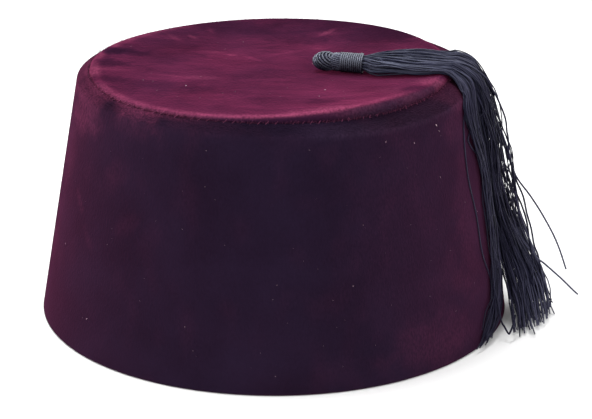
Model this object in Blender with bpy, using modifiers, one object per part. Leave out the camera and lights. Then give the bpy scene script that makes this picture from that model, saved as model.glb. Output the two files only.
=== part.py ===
"""A fez: an oval cap of velvet whose side leans in, with a top sewn in along a
rolled rim, and a black thread tassel that lies on the top and hangs over the
rim. +Z is up, the hem stands on z = 0 and the origin is the middle of the hem's
oval. The tassel hangs on the +X side, which is the back of the head.

Sizes are in millimetres, and MM turns them into the metres of the scene.
"""

import math
from collections import namedtuple

import bmesh
import bpy
from mathutils import Matrix, Vector
from mathutils.bvhtree import BVHTree

MM = 0.001
GAP = 0.35  # between pieces that touch on the real hat

# Crown. Every level of it is an oval, given by half its length along X.
HEM_HALF = 100.5
ROUNDNESS = 0.88  # breadth over length
SIDE_LEAN = 0.1815  # half-length lost for each millimetre of height
SIDE_DRIFT = (0.019, 0.021)  # how the oval's middle moves in X and Y with height
SEAM_HALF = 74.5
SEAM_SHIFT = (-2.2, -1.4)  # the seam's oval against the side's own middle
SHOULDER_DROP = 3.6  # the side starts to turn in this far below the seam
SHOULDER_CREASE = 2.6  # where the lines of side and shoulder would meet, below the seam
CLOTH = 2.5
TOP_MIDDLE = 104.0  # height of the top's middle
TOP_DISH = 3  # power by which the top rises from its middle to the rim
AROUND = 80  # points round an oval

# The rim, at eighths of a turn from +X towards +Y: the height of the seam, how
# far inside it the rolled edge has its crest, and how far that crest stands up.
Rim = namedtuple("Rim", "seam_height roll_inset roll_rise")
RIM = (
    Rim(104.5, 2.5, 2.0),
    Rim(105.5, 2.5, 2.5),
    Rim(105.5, 2.5, 1.8),
    Rim(105.0, 2.5, 1.5),
    Rim(105.0, 2.0, 1.4),
    Rim(102.8, 1.6, 0.8),
    Rim(102.6, 2.8, 1.5),
    Rim(102.0, 4.6, 3.8),
)

SIDE_LEVELS = (0.0, 0.33, 0.66, 1.0)  # shares of the height up to the shoulder
SHOULDER_STEPS = 5
ROLL_STEPS = 3
TOP_RINGS = (0.94, 0.86, 0.72, 0.5, 0.24)  # shares of the crest's half-length

# Tassel: an egg-shaped head, a neck that the binding is wound round, and locks.
# Places along it are measured from the head's middle.
HEAD_MIDDLE = (23.4, -3.0, 108.7)
HEAD_RADIUS = 4.15
HEAD_HALF = 5.8  # half its length
COLLAR_RADIUS = 3.6  # between the head and the binding
NECK_RADIUS = 2.9
NECK_END = 15.9
NECK_HEADING = -2.0  # degrees from +X, seen from above
NECK_RISE = 1.0  # degrees above level
HEAD_STEPS = 8
TURNED_STEPS = 20

BINDING_START = 6.9
BINDING_TURNS = 11
BINDING_PITCH = 0.78
BINDING_VALLEY = 3.72
BINDING_CREST = 4.05

# The locks' outer edge as they hang: how far off the side it is at each height.
Hang = namedtuple("Hang", "height stand_off")
HANG = (
    Hang(104.0, 2.2),
    Hang(92.0, 6.2),
    Hang(84.0, 8.0),
    Hang(60.0, 9.2),
    Hang(35.0, 10.8),
    Hang(20.0, 14.8),
    Hang(2.0, 19.0),
)

# One row for each lock, front to back: where it crosses the rim, its place half
# way down and at its tip (all Y), the tip's height, the share of the stand-off
# that it takes, its layer on the top of the hat and its radius where widest.
Lock = namedtuple("Lock", "rim_y hang_y tip_y tip_z spread layer girth")
LOCKS = (
    Lock(-11.4, -16.0, -42.0, 2.2, 0.00, 0, 1.8),
    Lock(-9.4, -13.5, -34.5, 3.2, 0.22, 1, 2.0),
    Lock(-7.4, -11.5, -32.5, 3.6, 0.48, 0, 1.9),
    Lock(-5.4, -9.5, -29.0, 3.0, 0.72, 1, 2.1),
    Lock(-3.3, -6.5, -22.5, 4.2, 0.30, 0, 1.9),
    Lock(-1.2, -4.5, -19.0, 3.4, 0.95, 1, 2.1),
    Lock(0.9, -1.0, -9.0, 5.0, 0.50, 0, 1.9),
    Lock(3.0, 1.5, -4.0, 3.6, 1.00, 1, 2.1),
    Lock(5.1, 4.5, 6.0, 4.8, 0.35, 0, 1.9),
    Lock(7.2, 7.5, 11.0, 4.0, 0.80, 1, 2.0),
    Lock(9.2, 10.5, 19.0, 5.5, 0.25, 0, 1.9),
    Lock(11.0, 13.5, 26.0, 7.0, 0.40, 1, 1.8),
)
LAYER_RISE = 1.5  # how much higher the upper layer crosses the rim
LAYER_HANG = 0.6  # share of that by which it hangs further off the side

# In the neck the locks run side by side, and from its end they spread.
START_DEPTH = 2.5  # inside the neck
LEAVE_REACH = 0.6  # beyond its end
LANE_REACH = 1.25  # the outermost lock's way off the neck's axis
LAYER_REACH = 0.7  # a layer's way above or below that axis

# Across the top: the share of the way to the rim, the share of the fan's whole
# breadth that is reached there, and how far the locks sag.
Fan = namedtuple("Fan", "share breadth sag")
FAN = (Fan(0.09, 0.30, 0.2), Fan(0.32, 0.82, 0.5), Fan(0.65, 1.0, 0.4))

# Down the side: how much of rim_y, hang_y and tip_y the lock's Y is made of.
Fall = namedtuple("Fall", "height rim hang tip")
FALL = (
    Fall(99.0, 1.6, 0.0, 0.0),
    Fall(86.0, 0.8, 0.5, 0.0),
    Fall(60.0, 0.0, 1.0, 0.0),
    Fall(34.0, 0.0, 0.8, 0.2),
)

# A lock's radius along its points: as a share of its girth past the neck.
LOCK_START_RADIUS = 1.0
LOCK_RIM_RADIUS = 0.8
LOCK_TIP_RADIUS = 0.5
START_SHARE = 0.10
RIM_SHARE = 0.38
FULL_SHARE = 0.64
LOCK_POINTS = 22
CURVE_STEPS = 16
BEND_DETAIL = 3.0  # how much closer together a lock's points are at the rim
BEND_REACH = 11.0  # and how far from the crossing that lasts
PUSH_ROUNDS = 6
CHORD_CHECKS = (0.0, 0.25, 0.5, 0.75, 1.0)

VELVET = (0.075, 0.008, 0.026, 1.0)
VELVET_TOP = (0.110, 0.012, 0.040, 1.0)
THREAD = (0.012, 0.012, 0.018, 1.0)
BINDING_THREAD = (0.030, 0.031, 0.040, 1.0)


def clear_scene():
    for old in list(bpy.data.objects):
        bpy.data.objects.remove(old, do_unlink=True)


def new_collection(name, helper=False):
    collection = bpy.data.collections.new(name)
    bpy.context.scene.collection.children.link(collection)
    collection.hide_render = helper
    return collection


def material(name, colour, roughness, sheen=0.0):
    made = bpy.data.materials.new(name)
    made.use_nodes = True
    shader = made.node_tree.nodes["Principled BSDF"]
    shader.inputs["Base Color"].default_value = colour
    shader.inputs["Roughness"].default_value = roughness
    shader.inputs["Metallic"].default_value = 0.0
    shader.inputs["Sheen Weight"].default_value = sheen
    made.diffuse_color = colour
    return made


def add_object(name, mesh, collection, finish):
    made = bpy.data.objects.new(name, mesh)
    collection.objects.link(made)
    mesh.materials.append(finish)
    mesh.shade_smooth()
    mesh.set_sharp_from_angle(angle=math.radians(40))
    return made


def curve_through(before, start, end, after, share):
    """A point between start and end on the smooth curve through all four."""
    return 0.5 * (
        2 * start
        + (end - before) * share
        + (2 * before - 5 * start + 4 * end - after) * share**2
        + (3 * start - before - 3 * end + after) * share**3
    )


def rim_at(azimuth, column):
    """A column of the rim's table at any azimuth, smooth all the way round."""
    place = azimuth / math.tau * len(RIM)
    row = math.floor(place)
    near = [getattr(RIM[(row + step) % len(RIM)], column) for step in (-1, 0, 1, 2)]
    return curve_through(*near, place - row)


def side_half(height):
    return HEM_HALF - SIDE_LEAN * height


# A point of the crown's outline, before it is put at an azimuth: its half-length,
# its height, and how far its oval has moved from the side's middle to the seam's.
Station = namedtuple("Station", "half height shift")


def side_outline(azimuth):
    """The side from the hem up to the seam, turning in at the shoulder."""
    seam_height = rim_at(azimuth, "seam_height")
    turn_height = seam_height - SHOULDER_DROP
    turn_half = side_half(turn_height)
    crease_height = seam_height - SHOULDER_CREASE
    crease_half = side_half(crease_height)
    outline = [
        Station(side_half(turn_height * level), turn_height * level, 0.0)
        for level in SIDE_LEVELS
    ]
    for step in range(1, SHOULDER_STEPS + 1):
        share = step / SHOULDER_STEPS
        start, middle, end = (1 - share) ** 2, 2 * share * (1 - share), share**2
        half = start * turn_half + middle * crease_half + end * SEAM_HALF
        height = start * turn_height + middle * crease_height + end * seam_height
        outline.append(Station(half, height, end))
    return outline


def roll_outline(azimuth):
    """The top's rolled edge, from the seam up to its crest."""
    seam_height = rim_at(azimuth, "seam_height")
    inset = rim_at(azimuth, "roll_inset")
    rise = rim_at(azimuth, "roll_rise")
    outline = []
    for step in range(ROLL_STEPS + 1):
        turn = step / ROLL_STEPS * math.pi / 2
        half = SEAM_HALF - GAP - inset * (1 - math.cos(turn))
        outline.append(Station(half, seam_height + rise * math.sin(turn), 1.0))
    return outline


def top_outline(azimuth):
    """The top inside the crest, dished a little towards its middle."""
    crest = roll_outline(azimuth)[-1]
    return [
        Station(
            crest.half * share,
            TOP_MIDDLE + (crest.height - TOP_MIDDLE) * share**TOP_DISH,
            1.0,
        )
        for share in TOP_RINGS
    ]


def outward(before, after):
    """The unit normal of an outline that runs up the side and in over the top."""
    normal = Vector((after.height - before.height, before.half - after.half))
    return normal.normalized()


def at(station, azimuth, inset=0.0, drop=0.0):
    """The point of a station at an azimuth, in millimetres, moved in and down."""
    height = station.height - drop
    middle_x = SIDE_DRIFT[0] * station.height + SEAM_SHIFT[0] * station.shift
    middle_y = SIDE_DRIFT[1] * station.height + SEAM_SHIFT[1] * station.shift
    x = middle_x + (station.half - inset) * math.cos(azimuth)
    y = middle_y + (station.half * ROUNDNESS - inset) * math.sin(azimuth)
    return Vector((x, y, height))


def lip_normal(azimuth):
    """The normal of the side where it ends at the seam."""
    outline = side_outline(azimuth)
    return outward(outline[-2], outline[-1])


def side_section(azimuth):
    """The side's cut through at an azimuth: up the outside, down the inside."""
    outline = side_outline(azimuth)
    outside = [at(station, azimuth) for station in outline]
    level_cut = CLOTH * math.hypot(1.0, SIDE_LEAN)
    inside = [at(outline[0], azimuth, inset=level_cut)]
    for index in range(1, len(outline)):
        ahead = outline[min(index + 1, len(outline) - 1)]
        normal = outward(outline[index - 1], ahead)
        inside.append(at(outline[index], azimuth, CLOTH * normal.x, CLOTH * normal.y))
    return outside + inside[::-1]


def top_section(azimuth):
    """The top's cut from above its middle, out to the seam and back below."""
    roll = roll_outline(azimuth)
    inner = top_outline(azimuth)
    above = [at(station, azimuth) for station in inner[::-1] + roll[::-1]]
    normal = lip_normal(azimuth)
    edge_below = at(roll[0], azimuth, CLOTH * normal.x, CLOTH * normal.y)
    below = [at(station, azimuth, drop=CLOTH) for station in [roll[-1]] + inner]
    return above + [edge_below] + below


def loft(name, section_at, closed, collection, finish):
    """A skin round the crown: the section at every azimuth, joined ring by ring.

    A closed section makes a tube. An open one has both its ends filled, and each
    filled end gets a point in its middle.
    """
    azimuths = [math.tau * step / AROUND for step in range(AROUND)]
    sections = [section_at(azimuth) for azimuth in azimuths]
    mesh = bmesh.new()
    rings = []
    for points in zip(*sections):
        ring = [mesh.verts.new(point * MM) for point in points]
        pairs = zip(ring, ring[1:] + ring[:1])
        rings.append([mesh.edges.new(pair) for pair in pairs])
    neighbours = list(zip(rings, rings[1:]))
    if closed:
        neighbours.append((rings[-1], rings[0]))
    for ring, other in neighbours:
        bmesh.ops.bridge_loops(mesh, edges=ring + other)
    if not closed:
        for ring in (rings[0], rings[-1]):
            filled = bmesh.ops.contextual_create(mesh, geom=ring)["faces"]
            bmesh.ops.poke(mesh, faces=filled)
    bmesh.ops.recalc_face_normals(mesh, faces=mesh.faces)
    data = bpy.data.meshes.new(name)
    mesh.to_mesh(data)
    mesh.free()
    return add_object(name, data, collection, finish)


def neck_frame():
    """Local +Z runs along the neck from the head's middle, and local X points down."""
    heading = Matrix.Rotation(math.radians(NECK_HEADING), 4, "Z")
    tip_over = Matrix.Rotation(math.radians(90 - NECK_RISE), 4, "Y")
    return Matrix.Translation(Vector(HEAD_MIDDLE) * MM) @ heading @ tip_over


def turned(name, profile, ring, collection, finish):
    """A turned shape from (radius, distance along the axis), in millimetres.

    A ring's profile closes on itself, and any other starts and ends on the axis.
    """
    data = bpy.data.meshes.new(name)
    points = [(radius * MM, 0.0, along * MM) for radius, along in profile]
    edges = [(index, index + 1) for index in range(len(points) - 1)]
    if ring:
        edges.append((len(points) - 1, 0))
    data.from_pydata(points, edges, [])
    made = add_object(name, data, collection, finish)
    screw = made.modifiers.new("Turn", "SCREW")
    screw.steps = TURNED_STEPS
    screw.render_steps = TURNED_STEPS
    screw.use_merge_vertices = True
    screw.merge_threshold = 0.00001
    screw.use_smooth_shade = True
    made.matrix_world = neck_frame()
    return made


def head_profile():
    """The neck from its far end, the collar, and the head back to its tip."""
    collar_end = BINDING_START - GAP
    profile = [
        (0.0, NECK_END),
        (NECK_RADIUS, NECK_END),
        (NECK_RADIUS, collar_end),
        (COLLAR_RADIUS, collar_end),
    ]
    meets_collar = math.asin(COLLAR_RADIUS / HEAD_RADIUS)
    for step in range(HEAD_STEPS):
        turn = meets_collar + (math.pi - meets_collar) * step / HEAD_STEPS
        profile.append((HEAD_RADIUS * math.sin(turn), HEAD_HALF * math.cos(turn)))
    return profile + [(0.0, -HEAD_HALF)]


def binding_profile():
    """The wound band: a rib for each turn outside, and a plain bore inside."""
    length = BINDING_TURNS * BINDING_PITCH
    profile = []
    for turn in range(2 * BINDING_TURNS, -1, -1):
        radius = BINDING_CREST if turn % 2 else BINDING_VALLEY
        profile.append((radius, BINDING_START + turn * BINDING_PITCH / 2))
    bore = NECK_RADIUS + GAP
    return profile + [(bore, BINDING_START), (bore, BINDING_START + length)]


def velvet_skin():
    """The crown's outside from the hem to the top, to keep the tassel clear of it."""
    points = []
    faces = []
    for step in range(AROUND):
        azimuth = math.tau * step / AROUND
        outline = side_outline(azimuth) + roll_outline(azimuth)[1:] + top_outline(azimuth)
        points += [at(station, azimuth) for station in outline]
    levels = len(outline)
    for step in range(AROUND):
        here, beyond = step * levels, (step + 1) % AROUND * levels
        for level in range(levels - 1):
            lower = (here + level, beyond + level)
            faces.append((*lower, beyond + level + 1, here + level + 1))
    return BVHTree.FromPolygons(points, faces)


def kept_clear(point, margin, skin):
    """The point moved out so that it is at least the margin off the velvet."""
    foot, normal, _, distance = skin.find_nearest(point)
    away = point - foot
    if away.dot(normal) < 0:
        return foot + normal * margin
    if distance < margin:
        return foot + away.normalized() * margin
    return point


def stand_off_at(height):
    """How far off the side the locks' outer edge hangs at a height."""
    for upper, lower in zip(HANG, HANG[1:]):
        if height >= lower.height:
            share = (upper.height - height) / (upper.height - lower.height)
            share = min(1.0, max(0.0, share))
            return upper.stand_off + (lower.stand_off - upper.stand_off) * share
    return HANG[-1].stand_off


def off_the_side(y, height, stand_off):
    """The point at this Y and height, so far off the side's outside."""
    half = side_half(height) + stand_off
    sine = (y - SIDE_DRIFT[1] * height) / (half * ROUNDNESS)
    return Vector((SIDE_DRIFT[0] * height + half * math.sqrt(1 - sine**2), y, height))


def rim_crossing(lock):
    """Where the lock's middle line passes over the rolled edge."""
    azimuth = math.asin(lock.rim_y / (SEAM_HALF * ROUNDNESS))
    crest = at(roll_outline(azimuth)[-1], azimuth)
    rise = GAP + lock.girth * LOCK_RIM_RADIUS + LAYER_RISE * lock.layer
    return Vector((crest.x, lock.rim_y, crest.z + rise))


def lock_stations(lock):
    """The lock's middle line in a few points, from inside the neck to its tip."""
    lane = (lock.rim_y - LOCKS[0].rim_y) / (LOCKS[-1].rim_y - LOCKS[0].rim_y)
    sideways = LANE_REACH * (2 * lane - 1)
    down = LAYER_REACH * (1 - 2 * lock.layer)
    frame = neck_frame()
    inside = frame @ (Vector((down, sideways, NECK_END - START_DEPTH)) * MM) / MM
    leaves = frame @ (Vector((down, sideways, NECK_END + LEAVE_REACH)) * MM) / MM
    crossing = rim_crossing(lock)
    stations = [inside, leaves]
    for fan in FAN:
        point = leaves.lerp(crossing, fan.share)
        point.y = leaves.y + (crossing.y - leaves.y) * fan.breadth
        point.z -= fan.sag
        stations.append(point)
    stations.append(crossing)
    resting = GAP + lock.girth
    least = resting + LAYER_RISE * LAYER_HANG * lock.layer
    for fall in FALL:
        y = lock.rim_y * fall.rim + lock.hang_y * fall.hang + lock.tip_y * fall.tip
        stand_off = resting + lock.spread * (stand_off_at(fall.height) - resting)
        stations.append(off_the_side(y, fall.height, max(stand_off, least)))
    stand_off = resting + lock.spread * (stand_off_at(lock.tip_z) - resting)
    stations.append(off_the_side(lock.tip_y, lock.tip_z, stand_off))
    return stations


def smooth_line(stations, count, bend):
    """Points along the smooth curve that runs through all but the first station.

    They lie closer together at the bend, and the first station goes before them.
    """
    padded = stations + [2 * stations[-1] - stations[-2]]
    fine = []
    for index in range(len(stations) - 2):
        four = padded[index : index + 4]
        fine += [curve_through(*four, step / CURVE_STEPS) for step in range(CURVE_STEPS)]
    fine.append(stations[-1])
    lengths = [0.0]
    for before, after in zip(fine, fine[1:]):
        away = (before - bend).length / BEND_REACH
        detail = 1 + BEND_DETAIL * math.exp(-(away**2))
        lengths.append(lengths[-1] + (after - before).length * detail)
    points = [stations[0]]
    index = 0
    for step in range(count):
        wanted = lengths[-1] * step / (count - 1)
        while index < len(fine) - 2 and lengths[index + 1] < wanted:
            index += 1
        share = (wanted - lengths[index]) / (lengths[index + 1] - lengths[index])
        points.append(fine[index].lerp(fine[index + 1], share))
    return points


def lock_radius(lock, share):
    """Thin in the neck, fullest below the rim, and narrower at the cut tip."""
    rows = (
        (0.0, LOCK_START_RADIUS),
        (START_SHARE, LOCK_START_RADIUS),
        (RIM_SHARE, lock.girth * LOCK_RIM_RADIUS),
        (FULL_SHARE, lock.girth),
        (1.0, lock.girth * LOCK_TIP_RADIUS),
    )
    for (start, first), (end, last) in zip(rows, rows[1:]):
        if share <= end:
            return first + (last - first) * (share - start) / (end - start)
    return rows[-1][1]


def laid_over(line, radii, skin):
    """The line moved out until its straight stretches clear the velvet as well."""
    points = [point.copy() for point in line]
    for _ in range(PUSH_ROUNDS):
        for index in range(2, len(points) - 1):
            margin = max(radii[index], radii[index + 1]) + GAP
            for share in CHORD_CHECKS:
                point = points[index].lerp(points[index + 1], share)
                push = kept_clear(point, margin, skin) - point
                points[index] += push
                points[index + 1] += push
    return points


def lock_mesh(name, lock, skin, collection):
    """The lock as a closed mesh, made from a curve with a bevel."""
    curve = bpy.data.curves.new(name, "CURVE")
    curve.dimensions = "3D"
    curve.bevel_depth = MM
    curve.bevel_resolution = 2
    curve.use_fill_caps = True
    line = smooth_line(lock_stations(lock), LOCK_POINTS, rim_crossing(lock))
    radii = [lock_radius(lock, index / (len(line) - 1)) for index in range(len(line))]
    spline = curve.splines.new("POLY")
    spline.points.add(len(line) - 1)
    for index, point in enumerate(laid_over(line, radii, skin)):
        spline.points[index].co = (*(point * MM), 1.0)
        spline.points[index].radius = radii[index]
    drawn = bpy.data.objects.new(name + "_curve", curve)
    collection.objects.link(drawn)
    graph = bpy.context.evaluated_depsgraph_get()
    data = bpy.data.meshes.new_from_object(drawn.evaluated_get(graph))
    made = bpy.data.objects.new(name, data)
    made.matrix_world = drawn.matrix_world
    bpy.data.objects.remove(drawn, do_unlink=True)
    collection.objects.link(made)
    welded = bmesh.new()
    welded.from_mesh(data)
    bmesh.ops.remove_doubles(welded, verts=welded.verts, dist=0.00001)
    bmesh.ops.recalc_face_normals(welded, faces=welded.faces)
    welded.to_mesh(data)
    welded.free()
    made.hide_render = True
    made.display_type = "WIRE"
    return made


def make_tassel(parts, helpers, thread):
    """The head and neck, with every lock joined to them in one body."""
    head = turned("tassel", head_profile(), False, parts, thread)
    skin = velvet_skin()
    for number, lock in enumerate(LOCKS, start=1):
        piece = lock_mesh(f"lock_{number}", lock, skin, helpers)
        join = head.modifiers.new(f"Join {number}", "BOOLEAN")
        join.operation = "UNION"
        join.solver = "MANIFOLD"
        join.object = piece
    return head


def main():
    clear_scene()
    parts = new_collection("fez")
    helpers = new_collection("fez_helpers", helper=True)
    velvet = material("velvet_side", VELVET, 0.9, sheen=0.6)
    velvet_top = material("velvet_top", VELVET_TOP, 0.9, sheen=0.6)
    thread = material("tassel_thread", THREAD, 0.55)
    binding_thread = material("binding_thread", BINDING_THREAD, 0.5)
    loft("crown_side", side_section, True, parts, velvet)
    loft("crown_top", top_section, False, parts, velvet_top)
    make_tassel(parts, helpers, thread)
    turned("tassel_binding", binding_profile(), True, parts, binding_thread)


main()
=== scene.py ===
"""A velvet fez with a black thread tassel, dressed for a still picture.

The crown's velvet, the stitches of its seam and every thread of the tassel are
made here. Sizes are in millimetres, and MM turns them into the metres of the
scene. +X is the end that the tassel falls over, and -Y faces the camera.
"""

import math
import random
from collections import namedtuple

import bmesh
import bpy
from mathutils import Matrix, Vector, noise
from mathutils.bvhtree import BVHTree


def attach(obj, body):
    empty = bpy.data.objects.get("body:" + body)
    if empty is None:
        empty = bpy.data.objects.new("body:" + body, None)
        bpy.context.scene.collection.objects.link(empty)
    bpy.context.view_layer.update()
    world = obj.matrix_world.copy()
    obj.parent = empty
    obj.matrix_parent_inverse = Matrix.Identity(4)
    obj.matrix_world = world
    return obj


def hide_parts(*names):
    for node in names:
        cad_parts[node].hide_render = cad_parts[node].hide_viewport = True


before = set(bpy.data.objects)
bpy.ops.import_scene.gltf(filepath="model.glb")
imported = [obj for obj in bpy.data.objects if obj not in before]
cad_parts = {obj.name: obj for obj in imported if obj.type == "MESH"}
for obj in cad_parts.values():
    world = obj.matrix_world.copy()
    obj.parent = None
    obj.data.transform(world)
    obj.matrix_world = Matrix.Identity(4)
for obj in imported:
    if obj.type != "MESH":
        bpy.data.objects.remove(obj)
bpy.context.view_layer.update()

MM = 0.001
SEED = 58

# Camera: place in millimetres, turns in degrees, and the image it was fitted to.
CAMERA_PLACE = (85.3, -585.9, 287.4)
CAMERA_TURNS = (-7.30, 22.62, -0.46)  # to the side, down and round its axis
FOCAL_PIXELS = 1500.0
IMAGE_WIDTH = 592
SENSOR_WIDTH = 36.0

# Crown, as in the solids: every level is an oval, given by half its length.
HEM_HALF = 100.5
ROUNDNESS = 0.88
SIDE_LEAN = 0.1815
SIDE_DRIFT = (0.019, 0.021)
SEAM_HALF = 74.5
SEAM_SHIFT = (-2.2, -1.4)
SHOULDER_DROP = 3.6
SHOULDER_CREASE = 2.6
CLOTH = 2.5
SEAM_GAP = 0.2
TOP_MIDDLE = 104.0
TOP_DISH = 3

# The rim at eighths of a turn from +X towards +Y.
Rim = namedtuple("Rim", "seam_height roll_inset roll_rise")
RIM = [Rim(*row) for row in (
    (104.5, 2.5, 2), (105.5, 2.5, 2.5), (105.5, 2.5, 1.8), (105, 2.5, 1.5),
    (105, 2, 1.4), (102.8, 1.6, 0.8), (102.6, 2.8, 1.5), (102, 4.6, 3.8),
)]

ROUND = 320  # points round the velvet
SIDE_ROWS = 50
SHOULDER_ROWS = 14
SHOULDER_REACH = 0.94  # share of the shoulder's curve before the lip
LIP = ((-0.16, 0.02), (-0.04, 0.25), (0.0, 0.95), (0.0, 1.7))  # inset, and depth
HEM_FOLD = ((1.25, 0.0), (0.50, 0.16), (0.10, 0.62))  # inset, and height
HEM_HEIGHT = 1.3
ROLL_ROWS = 8
TOP_ROWS = 56
TOP_EDGE_DROP = 1.2  # how deep the top's edge goes into the seam
SHARP_ANGLE = 60

# Seam: short stitches across the groove, each through points that lie so many slants
# round from its middle, in from the groove and below it.
STITCH = (
    (-1.3, -0.75, 0.75),
    (-1, -0.62, 0.05),
    (0, 0, -0.20),
    (1, 0.34, -0.75),
    (1.2, 0.65, -0.55),
)
STITCH_SLANT = 0.5
STITCH_WOBBLE = 0.1  # how much higher or lower its middle is
STITCH_PITCH = 2.8
STITCH_RADIUS = 0.10
FAINT_STITCHES = 0.45  # how much thinner they look on the front's right half
FAINT_TURN = (-118.0, -95.0)  # degrees from +X over which they get so
INSIDE_SEAM_DROP = 1.6  # the row of thread that closes the seam on the inside
INSIDE_SEAM_SHARE = 2.9  # how many times thicker than a stitch it is
FUZZ = 1300  # ends of pile that stand in the seam
FUZZ_RADIUS = 0.065
FUZZ_DEPTH = 0.5
FUZZ_TOUSLE = 0.34
FUZZ_LEAN = (0.3, 0.55)  # outwards and up

# Where the pile was pressed or brushed another way, and where sheen highlights are
# painted. A patch of the top is placed by X and Y, one of the side by its turn from +X
# in degrees and its height. It reaches so far along its heading and across it, and
# looks that much lighter, or darker where that is below 0. The heading is in degrees,
# and 0 where it isn't given.
Patch = namedtuple("Patch", "across up length breadth light heading", defaults=(0,))
TOP_PATCHES = (
    # fingers of dark pile at the left rim
    (-64, 11, 12, 4.5, -1.1), (-66, -4, 9, 5, -0.9), (-61, -23.5, 9.5, 4.5, -0.9),
    (-52, 14, 20, 24, -0.5), (-66.5, 10.5, 6, 5, -1.2), (-54.8, -17.4, 9, 5, -0.35),
    (7.6, 39, 14, 5, -0.35), (-47, -13, 14, 4, -0.3), (36, -39, 16, 4, -0.5, 18),
    (50, 43, 12, 8, -0.5, -30), (-44, -30, 26, 9, -0.35), (-25, 53, 26, 7, -0.5, -8),
    (34, 52, 36, 15, -0.5, -20), (12, 6, 34, 24, -0.35), (-5, -38, 40, 14, -0.15),
    (60, -27, 5, 3, -0.6, 50),
    # brush marks
    (-62, -12.2, 12, 1.3, 0.35, 5), (-42, -14.6, 11, 1.8, 0.35, -12),
    (-27, -16, 9, 2.6, 0.35), (-47, 34.5, 6, 1.6, 0.5, -45),
    (-39.3, 37.4, 3.5, 1.4, 0.5, -42), (-33.5, 47.5, 4.5, 1.4, 0.4, -60),
    (-47, -4.2, 4, 1.3, 0.4, 20), (-28, 19, 6, 1.4, 0.35), (-18.5, 15.8, 2.6, 1.6, 0.7),
    (-9.5, 12.2, 7, 1.4, 0.4, -35), (3.5, 21, 8, 1.4, 0.4, 25),
    (17, 27.6, 3.5, 1.6, 0.5), (20, 47.5, 14, 2.2, 0.2), (18.5, 48, 6, 1.6, 0.7, 52),
    # by the rim, where the lighter ones are painted sheen highlights
    (64, 42, 12, 4, 0.5, -50), (36, -40, 30, 8, 0.3, 18),
    (67, -18.5, 7.5, 4.5, 0.8, 20), (-9, 44, 30, 7, -0.3), (14, -46, 20, 7, -0.25),
    (27, -52.3, 11, 2.2, 0.8, 22), (40, -51, 12, 2.5, 0.22, 33),
    (19.8, 47.9, 9, 4, 0.2),
)
SIDE_PATCHES = (
    # the shoulder and what is below it, where the lighter ones are painted sheen
    (-152, 98, 17, 13, 0.75), (-178, 100, 24, 8, 0.6), (-160, 80, 8, 20, 0.25),
    (-129, 102.4, 18, 2.5, 1), (-153, 103, 32, 4.5, 0.45), (-128, 98, 16, 5, 0.2),
    (-121.5, 100, 8, 1.8, 0.3, -35), (-103, 102, 22, 3.5, 0.15),
    (-141.5, 101, 4, 5, -0.8), (-132.5, 77, 8, 6, 0.12, 20), (-126, 60, 8, 4, 0.12, 30),
    (-147.5, 60, 5, 1.4, 0.3, -40), (-141, 47.5, 6, 1.5, 0.25, -45),
    (-163, 34, 6, 14, 0.2), (-14, 101, 11, 5, 0.45), (-20, 92, 9, 12, 0.2),
    (-22, 50, 7, 28, 0.18), (-28, 31, 5, 5, 0.15), (-38, 11, 22, 11, 0.2),
    (-43, 55, 30, 60, 0.07),
)
SIDE_RADIUS = 90.0
DEGREE = math.radians(1.0) * SIDE_RADIUS  # millimetres round the side
SIDE_SPREAD = [Patch(across * DEGREE, *rest) for across, *rest in SIDE_PATCHES]
TOP_SPREAD = [Patch(*row) for row in TOP_PATCHES]
PATCH_FADE = (1.35, 0.35)  # from outside a patch to its full strength
FRAY = 0.45  # how ragged the patches' edges are
LEFT_HALF = (-96.0, -122.0)  # degrees from +X over which the front's left half starts
TOP_CENTRE = (-0.2, 0.8)
LAID_DOWN = 0.3  # how far dark pile leans

# Colours added to the velvet's own: lighter where the pile was pressed, which also
# paints the sheen highlights of the crest and the shoulders; and painted light where
# the right shoulder and the roll face the camera.
PRESSED_AND_SHEEN_SIDE = Vector((0.048, 0.0075, 0.018))
PRESSED_AND_SHEEN_TOP = Vector((0.075, 0.015, 0.029))
SHOULDER_PAINTED_LIGHT = Vector((0.0060, 0.0038, 0.0065))
ROLL_PAINTED_LIGHT = Vector((0.0050, 0.0045, 0.0070))

# Bits of lint on the velvet: those the photograph shows, by place and size.
LINT = {
    (69.8, -40.1, 95.6): 1.5, (71, -39.3, 93): 1.1, (51.8, -56.8, 94.1): 1.2,
    (61.9, -49.5, 91.4): 0.9, (44.3, -67, 64.2): 0.7, (41.2, -72.8, 41.3): 0.7,
    (13, -79.8, 43.6): 0.7, (38.5, -76.3, 28.5): 0.8, (72, -42.9, 75.4): 0.7,
    (-66.7, -62, 16): 1.2, (-9.3, -32.9, 104): 1.2, (25.7, -28.2, 104.4): 1,
    (-29.9, -27.2, 103.9): 0.9, (-21.7, -41.3, 103.8): 0.8, (48.5, -11.7, 104.8): 0.8,
}
MORE_LINT = 170  # smaller bits strewn all round
MORE_LINT_SIZES = (0.25, 0.55)
LINT_ON_TOP = 0.25  # the share of them that lies there
LINT_LENGTH = 0.6
LINT_BEND = 0.25
LINT_RADIUS = 0.1
LINT_CLEARANCE = 0.05

# Tassel. Places along the neck are measured from the head's middle.
HEAD_MIDDLE = Vector((23.4, -3, 108.5))
HEAD_RADIUS = 4.15
HEAD_HALF = 5.8
NECK_HEADING = -7.5
NECK_RADIUS = 2.9
BINDING_START = 6.2
BINDING_END = 15.5
BINDING_TURNS = 11
BINDING_RADIUS = 3.76
BINDING_THREAD_RADIUS = 0.36
BINDING_STEPS = 28  # points in a turn
LAST_TURN_PROUD = 0.22
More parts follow.
